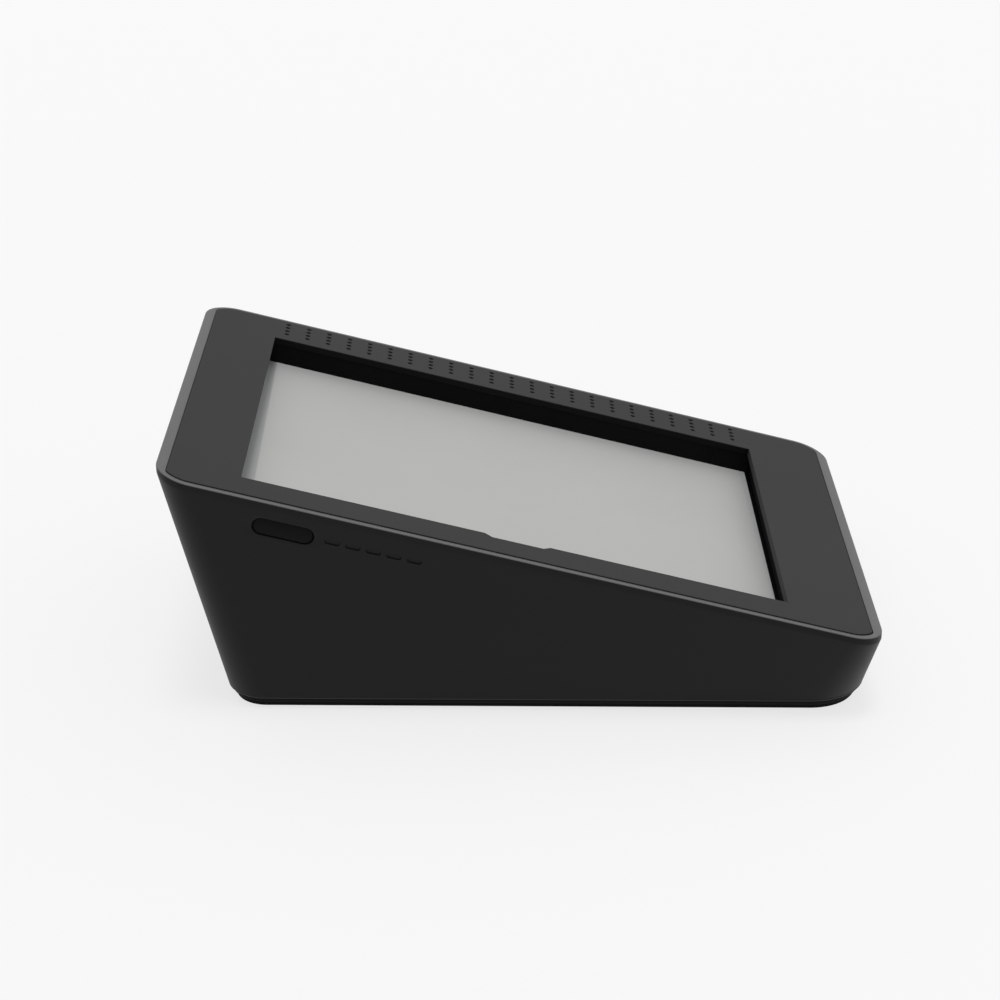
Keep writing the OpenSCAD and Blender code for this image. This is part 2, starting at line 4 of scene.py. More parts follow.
import bmesh
import bpy
import numpy as np
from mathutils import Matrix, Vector


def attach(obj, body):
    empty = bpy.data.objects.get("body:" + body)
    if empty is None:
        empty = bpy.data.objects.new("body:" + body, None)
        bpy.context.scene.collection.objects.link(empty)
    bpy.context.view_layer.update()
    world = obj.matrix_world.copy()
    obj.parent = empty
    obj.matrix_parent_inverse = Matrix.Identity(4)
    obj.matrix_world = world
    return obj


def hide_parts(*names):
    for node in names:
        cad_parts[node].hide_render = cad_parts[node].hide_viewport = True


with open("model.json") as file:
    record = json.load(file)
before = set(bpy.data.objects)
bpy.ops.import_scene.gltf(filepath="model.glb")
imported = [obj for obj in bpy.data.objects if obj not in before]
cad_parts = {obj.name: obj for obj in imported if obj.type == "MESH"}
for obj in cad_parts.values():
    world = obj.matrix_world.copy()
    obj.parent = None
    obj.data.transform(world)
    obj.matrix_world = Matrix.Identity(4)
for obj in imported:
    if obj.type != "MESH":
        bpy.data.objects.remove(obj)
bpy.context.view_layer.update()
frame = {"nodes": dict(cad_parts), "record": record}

scene = bpy.context.scene
mm = 0.001

# The wedge's own sizes, in millimetres and degrees
wedge = {
    "slope": 14.3,
    "midHeight": 73.7,  # rim plane over the table, at the middle
    "length": 300.0,
    "width": 202.0,
    "cornerRadius": 15.0,
    "band": 3.0,  # upright band under the rim
    "rimSide": 2.4,
    "rimEnd": 4.5,
    "rimEdge": 0.5,  # rounding of the rim's outer edge
    "recessEdge": 0.12,
    "recessDepth": 2.5,
    "ledge": 3.0,
    "ledgeSide": 3.0,
    "ledgeEnd": 12.0,
    "ledgeRadius": 6.0,
    "wall": 3.0,
    "footZ": 4.8,
    "footRound": 1.2,
    "footInset": 0.8,
    "footRadius": (24.0, 17.0),  # at the low and the high end
    "leanLow": 3.0,
    "leanHigh": 22.0,
    "leanSideLow": 10.0,
    "leanSideHigh": 13.0,
    "holdBand": 0.5,  # rings close to an edge keep its shading crisp
    "holdWall": 0.006,
}
slopeAngle = math.radians(wedge["slope"])
rise, run = math.sin(slopeAngle), math.cos(slopeAngle)
halfRun = wedge["length"] / 2 * run
footLow, footHigh = wedge["leanLow"] - halfRun, halfRun - wedge["leanHigh"]
footWidthLow = wedge["width"] - 2 * wedge["leanSideLow"]
footWidthHigh = wedge["width"] - 2 * wedge["leanSideHigh"]
highTop = wedge["midHeight"] + wedge["length"] / 2 * rise - wedge["band"]
highAngle = math.atan(wedge["leanHigh"] / (highTop - wedge["footZ"]))


def footHalfWidth(y):
    # half the bottom outline's width, a straight line from the low to the high edge
    along = (y - footLow) / (footHigh - footLow)
    return (footWidthLow + (footWidthHigh - footWidthLow) * along) / 2


def onSlope(x, y, z):
    # slope frame to the object's frame: turned about X, then lifted to the rim's middle
    x, y, z = np.broadcast_arrays(*(np.asarray(v, float) for v in (x, y, z)))
    return np.stack([x, y * run - z * rise, wedge["midHeight"] + y * rise + z * run], -1)


def onHighWall(points, x, z):
    # local +Z points out of the high wall, whose outside leans by highAngle
    wallY = halfRun - (highTop - z) * math.tan(highAngle)
    s, c = math.sin(highAngle), math.cos(highAngle)
    px, py, pz = points[..., 0], points[..., 1], points[..., 2]
    return np.stack([px + x, wallY - py * s + pz * c, z - py * c - pz * s], -1)


# ---- outlines and surfaces

def roundedOutline(spec, inset=0.0, corner=12, side=36, end=24):
    # four quarter circles joined by straight runs
    # spec = low width, high width, low y, high y, radii
    lowWidth, highWidth, lowY, highY, radii = spec
    lowR, highR = np.broadcast_to(radii, 2) - inset
    halfLow, halfHigh = lowWidth / 2 - inset - lowR, highWidth / 2 - inset - highR
    low, high = lowY + inset + lowR, highY - inset - highR
    turn = np.linspace(0, np.pi / 2, corner + 1)
    places = [(halfLow, low, -0.5, lowR), (halfHigh, high, 0.0, highR),
              (-halfHigh, high, 0.5, highR), (-halfLow, low, 1.0, lowR)]
    arcs = []
    for cx, cy, start, radius in places:
        angle = start * np.pi + turn
        arcs.append(np.stack([cx + radius * np.cos(angle), cy + radius * np.sin(angle)], -1))
    parts = []
    for k, steps in enumerate((side, end, side, end)):
        f = np.linspace(0, 1, steps + 1)[1:-1, None]
        parts += [arcs[k], arcs[k][-1] * (1 - f) + arcs[(k + 1) % 4][0] * f]
    return np.concatenate(parts)


def slabSpec(width, length, radius, y=0.0):
    return (width, width, y - length / 2, y + length / 2, radius)


def squareCut(outline, halfLength, y=0.0):
    # the outline's two ends cut square at a distance from y
    return np.column_stack([outline[:, 0], outline[:, 1].clip(y - halfLength, y + halfLength)])


def slopeRing(outline, z, drop=0.0):
    ring = onSlope(outline[:, 0], outline[:, 1], z)
    ring[:, 2] -= drop
    return ring


def levelRing(outline, z):
    return np.column_stack([outline, np.full(len(outline), float(z))])


def gridFaces(rows, columns, closeRows):
    # quads of a grid whose columns always close round on themselves
    lastRow = rows if closeRows else rows - 1
    r, c = np.meshgrid(np.arange(lastRow), np.arange(columns), indexing="ij")
    r2, c2 = (r + 1) % rows, (c + 1) % columns
    quads = np.stack([r * columns + c, r * columns + c2, r2 * columns + c2, r2 * columns + c], -1)
    return quads.reshape(-1, 4)


def loft(rings, joined=False):
    # a surface carried from ring to ring; the last ring joins the first, or both get a cap
    rings = np.asarray(rings, float)
    rows, columns = rings.shape[:2]
    faces = gridFaces(rows, columns, joined).tolist()
    if not joined:
        faces += [list(range(columns))[::-1], list(range((rows - 1) * columns, rows * columns))]
    return rings.reshape(-1, 3), faces


def lathe(profile, steps=32, closed=False):
    # a profile of (radius, height) pairs turned about Z
    turn = np.linspace(0, 2 * np.pi, steps, endpoint=False)
    profile = np.asarray(profile, float)
    radius, height = profile[:, :1], profile[:, 1:]
    rings = np.stack([radius * np.cos(turn), radius * np.sin(turn), height + 0 * turn], -1)
    return loft(rings, joined=closed)


def copies(solid, offsets):
    # the same closed shape at each offset
    points, faces = solid
    offsets = np.asarray(offsets, float)
    allPoints = (points[None] + offsets[:, None]).reshape(-1, 3)
    allFaces = [[i + k * len(points) for i in face] for k in range(len(offsets)) for face in faces]
    return allPoints, allFaces


def makeObject(name, solid):
    points, faces = solid
    mesh = bpy.data.meshes.new(name)
    mesh.from_pydata((np.asarray(points) * mm).tolist(), [], faces)
    mesh.update()
    piece = bpy.data.objects.new(name, mesh)
    scene.collection.objects.link(piece)
    outward(piece)
    return piece


def outward(piece):
    work = bmesh.new()
    work.from_mesh(piece.data)
    bmesh.ops.recalc_face_normals(work, faces=work.faces)
    work.to_mesh(piece.data)
    work.free()


def combine(piece, solid, operation="DIFFERENCE"):
    # adds or cuts a closed solid and keeps the result as the piece's own mesh
    tool = makeObject("tool", solid)
    modifier = piece.modifiers.new("combine", "BOOLEAN")
    modifier.object, modifier.operation, modifier.solver = tool, operation, "MANIFOLD"
    depsgraph = bpy.context.evaluated_depsgraph_get()
    mesh = bpy.data.meshes.new_from_object(piece.evaluated_get(depsgraph))
    if len(mesh.polygons) == 0:
        raise RuntimeError(piece.name + " vanished in a cut")
    piece.modifiers.clear()
    piece.data = mesh
    bpy.data.objects.remove(tool)


def shade(piece, crease=32.0, flatOver=60.0):
    # smooth shading, sharp over the crease angle; faces larger than flatOver mm2 stay flat
    mesh = piece.data
    mesh.shade_smooth()
    mesh.set_sharp_from_angle(angle=math.radians(crease))
    area = np.zeros(len(mesh.polygons))
    mesh.polygons.foreach_get("area", area)
    mesh.polygons.foreach_set("use_smooth", area < flatOver * mm * mm)
    mesh.update()


def edgeRound(radius, steps=4):
    # (inset, depth) pairs of a quarter-round edge, from the flat top down to the side
    t = np.linspace(0, np.pi / 2, steps + 1)
    return np.stack([radius * (1 - np.sin(t)), radius * (1 - np.cos(t))], -1)


def softSlab(spec, low, high, place, edge=0.4, steps=3, **outlineArgs):
    # a plate with rounded rims between two levels
    top = [(inset, high - depth) for inset, depth in edgeRound(edge, steps)]
    bottom = [(inset, low + depth) for inset, depth in edgeRound(edge, steps)[::-1]]
    rings = [place(roundedOutline(spec, inset, **outlineArgs), z) for inset, z in top + bottom]
    return loft(rings)


# ---- shader node groups shared by the finishes

textureOutputs = [(title, "NodeSocketFloat") for title in ("Height", "Speckle", "Blotch")]


def newGroup(name, inputs, outputs=textureOutputs):
    group = bpy.data.node_groups.new(name, "ShaderNodeTree")
    for title, value in inputs:
        socket = group.interface.new_socket(title, in_out="INPUT", socket_type="NodeSocketFloat")
        socket.default_value = value
    for title, kind in outputs:
        group.interface.new_socket(title, in_out="OUTPUT", socket_type=kind)
    source = group.nodes.new("NodeGroupInput")
    result = group.nodes.new("NodeGroupOutput")
    return group, source, result


def addNode(tree, kind, **settings):
    node = tree.nodes.new(kind)
    for key, value in settings.items():
        if key in node.inputs:
            node.inputs[key].default_value = value
        else:
            setattr(node, key, value)
    return node


def mathNode(tree, operation, a, b=None, clamp=False):
    node = addNode(tree, "ShaderNodeMath", operation=operation, use_clamp=clamp)
    for socket, value in zip(node.inputs, (a, b)):
        if value is None:
            continue
        if isinstance(value, (int, float)):
            socket.default_value = value
        else:
            tree.links.new(value, socket)
    return node.outputs[0]


def buildGrain():
    # moulded grain: fine noise with small rounded pits, and slow blotches for colour and gloss
    group, source, result = newGroup(
        "mouldedGrain", [("Grain Scale", 1800.0), ("Pit Share", 0.5), ("Blotch Scale", 18.0)]
    )
    coord = group.nodes.new("ShaderNodeTexCoord")
    noise = addNode(group, "ShaderNodeTexNoise", Detail=3.0, Roughness=0.6)
    pits = addNode(group, "ShaderNodeTexVoronoi", feature="SMOOTH_F1")
    blotch = addNode(group, "ShaderNodeTexNoise", Detail=4.0, Roughness=0.55)
    for node in (noise, pits, blotch):
        group.links.new(coord.outputs["Object"], node.inputs["Vector"])
    group.links.new(source.outputs["Grain Scale"], noise.inputs["Scale"])
    group.links.new(source.outputs["Grain Scale"], pits.inputs["Scale"])
    group.links.new(source.outputs["Blotch Scale"], blotch.inputs["Scale"])
    pitted = mathNode(group, "MULTIPLY", pits.outputs["Distance"], source.outputs["Pit Share"])
    group.links.new(mathNode(group, "ADD", noise.outputs["Fac"], pitted), result.inputs["Height"])
    group.links.new(noise.outputs["Fac"], result.inputs["Speckle"])
    group.links.new(blotch.outputs["Fac"], result.inputs["Blotch"])
    return group


def buildBrush():
    # brushed metal: noise stretched along one axis, with slow blotches
    group, source, result = newGroup(
        "brushedLines", [("Line Scale", 900.0), ("Stretch", 0.03), ("Blotch Scale", 30.0)]
    )
    coord = group.nodes.new("ShaderNodeTexCoord")
    squash = group.nodes.new("ShaderNodeCombineXYZ")
    squash.inputs[1].default_value = 1.0
    squash.inputs[2].default_value = 1.0
    group.links.new(source.outputs["Stretch"], squash.inputs[0])
    scaled = addNode(group, "ShaderNodeVectorMath", operation="MULTIPLY")
    group.links.new(coord.outputs["Object"], scaled.inputs[0])
    group.links.new(squash.outputs[0], scaled.inputs[1])
    lines = addNode(group, "ShaderNodeTexNoise", Detail=2.0, Roughness=0.5)
    blotch = addNode(group, "ShaderNodeTexNoise", Detail=3.0, Roughness=0.5)
    group.links.new(scaled.outputs[0], lines.inputs["Vector"])
    group.links.new(coord.outputs["Object"], blotch.inputs["Vector"])
    group.links.new(source.outputs["Line Scale"], lines.inputs["Scale"])
    group.links.new(source.outputs["Blotch Scale"], blotch.inputs["Scale"])
    group.links.new(lines.outputs["Fac"], result.inputs["Height"])
    group.links.new(lines.outputs["Fac"], result.inputs["Speckle"])
    group.links.new(blotch.outputs["Fac"], result.inputs["Blotch"])
    return group


def buildWeave():
    # plain weave on the slope: two crossed sets of round threads
    group, source, result = newGroup(
        "plainWeave", [("Thread Pitch mm", 0.45), ("Pit Share", 0.0), ("Blotch Scale", 60.0)]
    )
    coord = group.nodes.new("ShaderNodeTexCoord")
    split = group.nodes.new("ShaderNodeSeparateXYZ")
    group.links.new(coord.outputs["Object"], split.inputs[0])
    pitch = mathNode(group, "DIVIDE", 2000 * math.pi, source.outputs["Thread Pitch mm"])
    waves = [
        mathNode(group, "SINE", mathNode(group, "MULTIPLY", split.outputs[axis], pitch))
        for axis in (0, 1)
    ]
    height = mathNode(group, "MULTIPLY", waves[0], waves[1])
    blotch = addNode(group, "ShaderNodeTexNoise", Detail=2.0)
    group.links.new(coord.outputs["Object"], blotch.inputs["Vector"])
    group.links.new(source.outputs["Blotch Scale"], blotch.inputs["Scale"])
    group.links.new(height, result.inputs["Height"])
    group.links.new(height, result.inputs["Speckle"])
    group.links.new(blotch.outputs["Fac"], result.inputs["Blotch"])
    return group


def buildSlopePlace():
    # where a point lies on the sloping rim plane, in millimetres: across, along and above it
    group, source, result = newGroup(
        "slopePlace", [], [(title, "NodeSocketFloat") for title in ("Across", "Along", "Above")]
    )
    coord = group.nodes.new("ShaderNodeTexCoord")
    turn = addNode(group, "ShaderNodeMapping", vector_type="TEXTURE")
    turn.inputs["Location"].default_value = (0, 0, wedge["midHeight"] * mm)
    turn.inputs["Rotation"].default_value = (slopeAngle, 0, 0)
    split = group.nodes.new("ShaderNodeSeparateXYZ")
    group.links.new(coord.outputs["Object"], turn.inputs["Vector"])
    group.links.new(turn.outputs[0], split.inputs[0])
    for axis, title in enumerate(("Across", "Along", "Above")):
        inMillimetres = mathNode(group, "MULTIPLY", split.outputs[axis], 1 / mm)
        group.links.new(inMillimetres, result.inputs[title])
    return group


textures = {"grain": buildGrain(), "brush": buildBrush(), "weave": buildWeave()}
slopePlace = buildSlopePlace()


def startMaterial(name):
    material = bpy.data.materials.new(name)
    material.use_nodes = True
    tree = material.node_tree
    tree.nodes.clear()
    shader = tree.nodes.new("ShaderNodeBsdfPrincipled")
    output = tree.nodes.new("ShaderNodeOutputMaterial")
    tree.links.new(shader.outputs[0], output.inputs["Surface"])
    return material, tree, shader


def mixColours(tree, factor, a, b):
    node = addNode(tree, "ShaderNodeMix", data_type="RGBA")
    tree.links.new(factor, node.inputs[0])
    for socket, value in ((node.inputs[6], a), (node.inputs[7], b)):
        if isinstance(value, (tuple, list)):
            socket.default_value = (*value, 1.0)
        else:
            tree.links.new(value, socket)
    return node.outputs[2]


def mapTo(tree, value, low, high, fromLow=0.3, fromHigh=0.7):
    node = addNode(tree, "ShaderNodeMapRange")
    node.inputs["From Min"].default_value = fromLow
    node.inputs["From Max"].default_value = fromHigh
    node.inputs["To Min"].default_value = low
    node.inputs["To Max"].default_value = high
    tree.links.new(value, node.inputs["Value"])
    return node.outputs[0]


speckleShare, speckleDarkening = 0.35, 0.72


def makeFinish(
    name, colour, tone, rough, metal=0.0, specular=0.5, kind="grain", scale=1800.0, second=None,
    blotch=18.0, bump=0.3, depth=0.02, sheen=0.0, paintedRimLight=None, paintedEdgeShade=None,
):
    # colour and gloss run between two values over the blotches, and the texture gives a fine bump
    material, tree, shader = startMaterial(name)
    group = addNode(tree, "ShaderNodeGroup", node_tree=textures[kind])
    group.inputs[0].default_value = scale
    if second is not None:
        group.inputs[1].default_value = second
    group.inputs[2].default_value = blotch
    spread = mapTo(tree, group.outputs["Blotch"], 0.0, 1.0)
    base = mixColours(tree, spread, colour, tone)
    speckle = mapTo(tree, group.outputs["Speckle"], 0.0, speckleShare)
    darker = tuple(c * speckleDarkening for c in colour)
    base = mixColours(tree, speckle, base, darker)
    # painted light: the rim's top face is painted much lighter than the walls of the same black
    # plastic, for the light it catches from above
    if paintedRimLight:
        place = addNode(tree, "ShaderNodeGroup", node_tree=slopePlace)
        mask = mapTo(tree, place.outputs["Above"], 0.0, 1.0, paintedRimLight["from"], paintedRimLight["to"])
        paintedRimLightColour = mixColours(tree, speckle, paintedRimLight["colour"], paintedRimLight["tone"])
        base = mixColours(tree, mask, base, paintedRimLightColour)
    if paintedEdgeShade:
        # painted shade: the window's long cut faces, close to its two sides and below the top face,
        # are painted near black where shade falls in the cut
        place = addNode(tree, "ShaderNodeGroup", node_tree=slopePlace)
        soft = paintedEdgeShade["soft"]
        across = mathNode(tree, "SUBTRACT", place.outputs["Across"], paintedEdgeShade["middle"])
        off = mathNode(tree, "ABSOLUTE", across)
        outside = mapTo(tree, off, 0.0, 1.0, paintedEdgeShade["to"] - soft, paintedEdgeShade["to"])
        near = mapTo(tree, off, 1.0, 0.0, paintedEdgeShade["reach"], paintedEdgeShade["reach"] + soft)
        height = place.outputs["Above"]
        low = mapTo(tree, height, 1.0, 0.0, paintedEdgeShade["below"] - soft, paintedEdgeShade["below"])
        edge = mathNode(tree, "MULTIPLY", mathNode(tree, "MULTIPLY", outside, near), low)
        base = mixColours(tree, edge, base, paintedEdgeShade["colour"])
    tree.links.new(base, shader.inputs["Base Color"])
    tree.links.new(mapTo(tree, group.outputs["Blotch"], *rough), shader.inputs["Roughness"])
    shader.inputs["Metallic"].default_value = metal
    shader.inputs["Specular IOR Level"].default_value = specular
    shader.inputs["Sheen Weight"].default_value = sheen
    shader.inputs["Sheen Roughness"].default_value = 0.4
    relief = addNode(tree, "ShaderNodeBump", Strength=bump, Distance=depth * mm)
    tree.links.new(group.outputs["Height"], relief.inputs["Height"])
    tree.links.new(relief.outputs[0], shader.inputs["Normal"])
    return material


# One entry for each finish: what a user would change to recolour the object.
# The faceplate's painted edge shade has the middle and half width of its window.
finishes = {
    "shell_plastic": dict(
        colour=(0.0075, 0.0075, 0.0077), tone=(0.009, 0.009, 0.0093), rough=(0.42, 0.5),
        specular=0.14, scale=2600.0, second=0.4, bump=0.35, depth=0.03,
        # painted light: the rim's top face gets a much lighter colour, for the light it catches
        # from above
        paintedRimLight={"from": -0.45, "to": -0.1, "colour": (0.14, 0.14, 0.141),
             "tone": (0.09, 0.09, 0.09)},
    ),
    "faceplate_metal": dict(
        colour=(0.036, 0.036, 0.0365), tone=(0.038, 0.038, 0.0385), rough=(0.6, 0.68),
        specular=0.12, scale=3600.0, second=0.2, blotch=9.0, bump=0.15, depth=0.02,
        # painted shade in the window's long cut faces
        paintedEdgeShade={"middle": -4.2, "to": 79.0, "reach": 81.0, "below": 0.3, "soft": 0.1,
                  "colour": (0.004, 0.004, 0.004)},
    ),
    "base_steel": dict(
        colour=(0.004, 0.0042, 0.0045), tone=(0.006, 0.006, 0.0065), rough=(0.5, 0.65),
        specular=0.1, scale=2000.0, second=0.3, bump=0.3, depth=0.03,
    ),
    "mat_rubber": dict(
        colour=(0.003, 0.0035, 0.004), tone=(0.006, 0.0065, 0.007), rough=(0.7, 0.85),
        specular=0.1, scale=1500.0, second=0.8, bump=0.5, depth=0.06,
    ),
    "brass": dict(
        colour=(0.72, 0.5, 0.2), tone=(0.6, 0.4, 0.16), rough=(0.25, 0.4), metal=1.0,
        kind="brush", scale=2500.0, second=0.1, bump=0.2,
    ),
    "screw_steel": dict(
        colour=(0.32, 0.32, 0.33), tone=(0.24, 0.24, 0.25), rough=(0.28, 0.42), metal=1.0,
        kind="brush", scale=3000.0, second=0.2, bump=0.15,
    ),
    "acoustic_cloth": dict(
        colour=(0.02, 0.02, 0.02), tone=(0.03, 0.03, 0.03), rough=(0.8, 0.95), specular=0.2,
        kind="weave", scale=0.45, bump=0.8, depth=0.08, sheen=0.1,
    ),
    "foam_black": dict(
        colour=(0.004, 0.004, 0.004), tone=(0.008, 0.008, 0.008), rough=(0.85, 0.95),
        specular=0.1, scale=1100.0, second=1.4, bump=0.9, depth=0.15,
    ),
    "plated_steel": dict(
        colour=(0.5, 0.5, 0.51), tone=(0.42, 0.42, 0.44), rough=(0.18, 0.32), metal=1.0,
        kind="brush", scale=2200.0, second=0.3, bump=0.1,
    ),
    "black_ink": dict(
        colour=(0.004, 0.004, 0.004), tone=(0.006, 0.006, 0.006), rough=(0.2, 0.3),
        scale=3000.0, bump=0.02,
    ),
    "panel_grey": dict(
        colour=(0.47, 0.47, 0.46), tone=(0.5, 0.5, 0.49), rough=(0.5, 0.6), scale=2500.0,
        bump=0.05,
    ),
    "housing_aluminium": dict(
        colour=(0.5, 0.51, 0.52), tone=(0.45, 0.46, 0.47), rough=(0.34, 0.42), metal=1.0,
        scale=4200.0, second=0.6, bump=0.25, depth=0.02,
    ),
    "cell_film": dict(
        colour=(0.015, 0.015, 0.017), tone=(0.022, 0.022, 0.024), rough=(0.3, 0.5),
        scale=300.0, second=0.1, blotch=40.0, bump=0.3, depth=0.15,
    ),
    "black_plastic": dict(
        colour=(0.014, 0.014, 0.015), tone=(0.02, 0.02, 0.021), rough=(0.42, 0.55),
        specular=0.4, scale=2600.0, second=0.4, bump=0.3, depth=0.03,
    ),
    "tray_steel": dict(
        colour=(0.03, 0.03, 0.031), tone=(0.04, 0.04, 0.042), rough=(0.45, 0.6), scale=2400.0,
        second=0.2, bump=0.25, depth=0.03,
    ),
    "bracket_steel": dict(
        colour=(0.38, 0.39, 0.4), tone=(0.3, 0.31, 0.32), rough=(0.3, 0.48), metal=1.0,
        kind="brush", scale=1400.0, second=0.04, blotch=60.0, bump=0.2,
    ),
    "button_silicone": dict(
        colour=(0.0022, 0.0022, 0.0032), tone=(0.003, 0.003, 0.004), rough=(0.5, 0.6),
        specular=0.1, scale=2600.0, second=0.3, bump=0.2, depth=0.02, sheen=0.05,
    ),
}
materials = {slot: makeFinish(slot, **recipe) for slot, recipe in finishes.items()}


# ---- the screen: a blank grey picture with a glossy black border, all under glass
screen = {
    "width": 179.5, "length": 248.6, "radius": 16.0, "thickness": 0.8, "topZ": -11.5,
    "centreX": -4.2, "centreY": 3.0, "pictureWidth": 160.0, "pictureLength": 229.0,
    "grey": (0.46, 0.46, 0.452), "greyFar": (0.44, 0.44, 0.433), "border": (0.0045, 0.0045, 0.005),
    "pictureSoft": 0.05, "gloss": (0.1, 0.2), "pictureDull": 0.4, "specular": 0.2,
    # painted shadow and shade: darker strips at the picture's high and low ends, where the cover
    # plate's window edges shade the screen; the strips' edges are turned by a slant
    "shadowSlant": 0.0155, "shadowEdgeHigh": 111.75, "shadowEdgeLow": -109.75, "shadowSoft": 0.35,
    "marginHigh": (0.33, 0.34, 0.339), "marginLow": (0.41, 0.422, 0.422),
}


def makeScreenMaterial():
    material, tree, shader = startMaterial("screen_glass")
    place = addNode(tree, "ShaderNodeGroup", node_tree=slopePlace)
    masks = []
    for title, centre, size in (
        ("Across", screen["centreX"], screen["pictureWidth"]),
        ("Along", screen["centreY"], screen["pictureLength"]),
    ):
        off = mathNode(tree, "ABSOLUTE", mathNode(tree, "SUBTRACT", place.outputs[title], centre))
        half, soft = size / 2, screen["pictureSoft"]
        masks.append(mapTo(tree, off, 1.0, 0.0, half - soft, half + soft))
    inside = mathNode(tree, "MULTIPLY", masks[0], masks[1])
    coord = tree.nodes.new("ShaderNodeTexCoord")
    cloud = addNode(tree, "ShaderNodeTexNoise", Scale=9.0, Detail=2.0)
    tree.links.new(coord.outputs["Object"], cloud.inputs["Vector"])
    cloudy = mapTo(tree, cloud.outputs["Fac"], 0.0, 1.0)
    grey = mixColours(tree, cloudy, screen["grey"], screen["greyFar"])
    # painted shadow and shade: beyond slanted edges near the high and low ends the picture is
    # painted darker, for the shade cast by the cover plate's window edges
    slant = mathNode(tree, "MULTIPLY", place.outputs["Across"], screen["shadowSlant"])
    alongShadowEdge = mathNode(tree, "SUBTRACT", place.outputs["Along"], slant)
    soft = screen["shadowSoft"]
    paintedShadows = (("marginHigh", screen["shadowEdgeHigh"], soft), ("marginLow", screen["shadowEdgeLow"], -soft))
    for title, edge, side in paintedShadows:
        beyond = mapTo(tree, alongShadowEdge, 0.0, 1.0, edge - side, edge + side)
        grey = mixColours(tree, beyond, grey, screen[title])
    tree.links.new(mixColours(tree, inside, screen["border"], grey), shader.inputs["Base Color"])
    smudge = addNode(tree, "ShaderNodeTexNoise", Scale=60.0, Detail=5.0, Roughness=0.65)
    tree.links.new(coord.outputs["Object"], smudge.inputs["Vector"])
    gloss = mapTo(tree, smudge.outputs["Fac"], *screen["gloss"])
    dull = mathNode(tree, "ADD", mathNode(tree, "MULTIPLY", inside, screen["pictureDull"]), gloss)
    tree.links.new(dull, shader.inputs["Roughness"])
    shader.inputs["Specular IOR Level"].default_value = screen["specular"]
    return material


materials["screen_glass"] = makeScreenMaterial()


def makeBoardMaterial():
    # solder mask with a grid of tracks in a lighter green
    material, tree, shader = startMaterial("circuit_board")
    coord = tree.nodes.new("ShaderNodeTexCoord")
    tracks = addNode(tree, "ShaderNodeTexBrick", Scale=260.0)
    tracks.inputs["Color1"].default_value = (0.01, 0.075, 0.04, 1)
    tracks.inputs["Color2"].default_value = (0.012, 0.09, 0.048, 1)
    tracks.inputs["Mortar"].default_value = (0.05, 0.2, 0.1, 1)
    tree.links.new(coord.outputs["Object"], tracks.inputs["Vector"])
    tree.links.new(tracks.outputs["Color"], shader.inputs["Base Color"])
    cloud = addNode(tree, "ShaderNodeTexNoise", Scale=90.0)
    tree.links.new(coord.outputs["Object"], cloud.inputs["Vector"])
    tree.links.new(mapTo(tree, cloud.outputs["Fac"], 0.25, 0.4), shader.inputs["Roughness"])
    relief = addNode(tree, "ShaderNodeBump", Strength=0.3, Distance=0.03 * mm)
    tree.links.new(tracks.outputs["Fac"], relief.inputs["Height"])
    tree.links.new(relief.outputs[0], shader.inputs["Normal"])
    return material


materials["circuit_board"] = makeBoardMaterial()
print("finishes made:", len(materials))

# Every CAD node wears its slot's finish
slotOf = {row["node"]: row["material_slot"] for row in frame["record"]["subparts"]}
for node, cadPiece in frame["nodes"].items():
    cadPiece.data.materials.clear()
    cadPiece.data.materials.append(materials[slotOf[node]])


def finishPiece(piece, body, slot, *nodes, crease=32.0, flatOver=60.0):
    shade(piece, crease, flatOver)
    piece.data.materials.clear()
    piece.data.materials.append(materials[slot])
    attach(piece, body)
    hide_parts(*nodes)


# ---- wedge body
def pillRing(centre, length, height, inset, x, drop=0.0, steps=20):
    # stadium outline along the slope, in a plane across X; x is a number or a function of (y, z)
    radius = height / 2 - inset
    straight = (length - height) / 2
    turn = np.linspace(-np.pi / 2, np.pi / 2, steps + 1)
    along = np.concatenate([straight + radius * np.cos(turn), -straight - radius * np.cos(turn)])
    up = np.concatenate([radius * np.sin(turn), -radius * np.sin(turn)]) - drop
    y = centre[0] + along * run - up * rise
    z = centre[1] + along * rise + up * run
    return np.stack([x(y, z) if callable(x) else np.full(len(y), float(x)), y, z], -1)


def leftWallX(y, z):
    # the left wall is ruled between the band's lower edge and the foot: s runs down, f runs along
    top = (wedge["length"] / 2 - wedge["cornerRadius"]) * run
    topZ = (wedge["length"] / 2 - wedge["cornerRadius"]) * rise
    low, high = footLow + wedge["footRadius"][0], footHigh - wedge["footRadius"][1]
    footZ = wedge["footZ"] + wedge["footRound"]
    f = np.full(np.shape(y), 0.5)
    for _ in range(12):
        edgeZ = wedge["midHeight"] - wedge["band"] - topZ + 2 * topZ * f
        s = (edgeZ - z) / (edgeZ - footZ)
        start = (1 - s) * -top + s * low
        f = (y - start) / ((1 - s) * 2 * top + s * (high - low))
    footWidth = footWidthLow + (footWidthHigh - footWidthLow) * f
    return -(1 - s) * wedge["width"] / 2 - s * footWidth / 2


button = {
    "centre": (95.3, 86.6), "length": 25.0, "height": 7.8, "recess": 0.7, "gap": 0.3, "mouth": 0.35,
    "flange": 0.8, "flangeEdge": 1.5, "flangeBack": 1.7, "travel": 1.0, "stopGap": 0.1,
    "retainerEnd": 6.0, "retainerSide": 2.0, "retainerGap": 0.3,
}
buttonEdgeZ = wedge["midHeight"] + button["centre"][0] * math.tan(slopeAngle) - wedge["band"]
buttonFall = (buttonEdgeZ - button["centre"][1]) / (buttonEdgeZ - wedge["footZ"])
buttonLean = wedge["leanSideHigh"] * buttonFall
buttonWall = -wedge["width"] / 2 + buttonLean
flangeX = buttonWall + button["flangeBack"]
retainerX = flangeX + button["flange"] + button["travel"] + button["stopGap"]

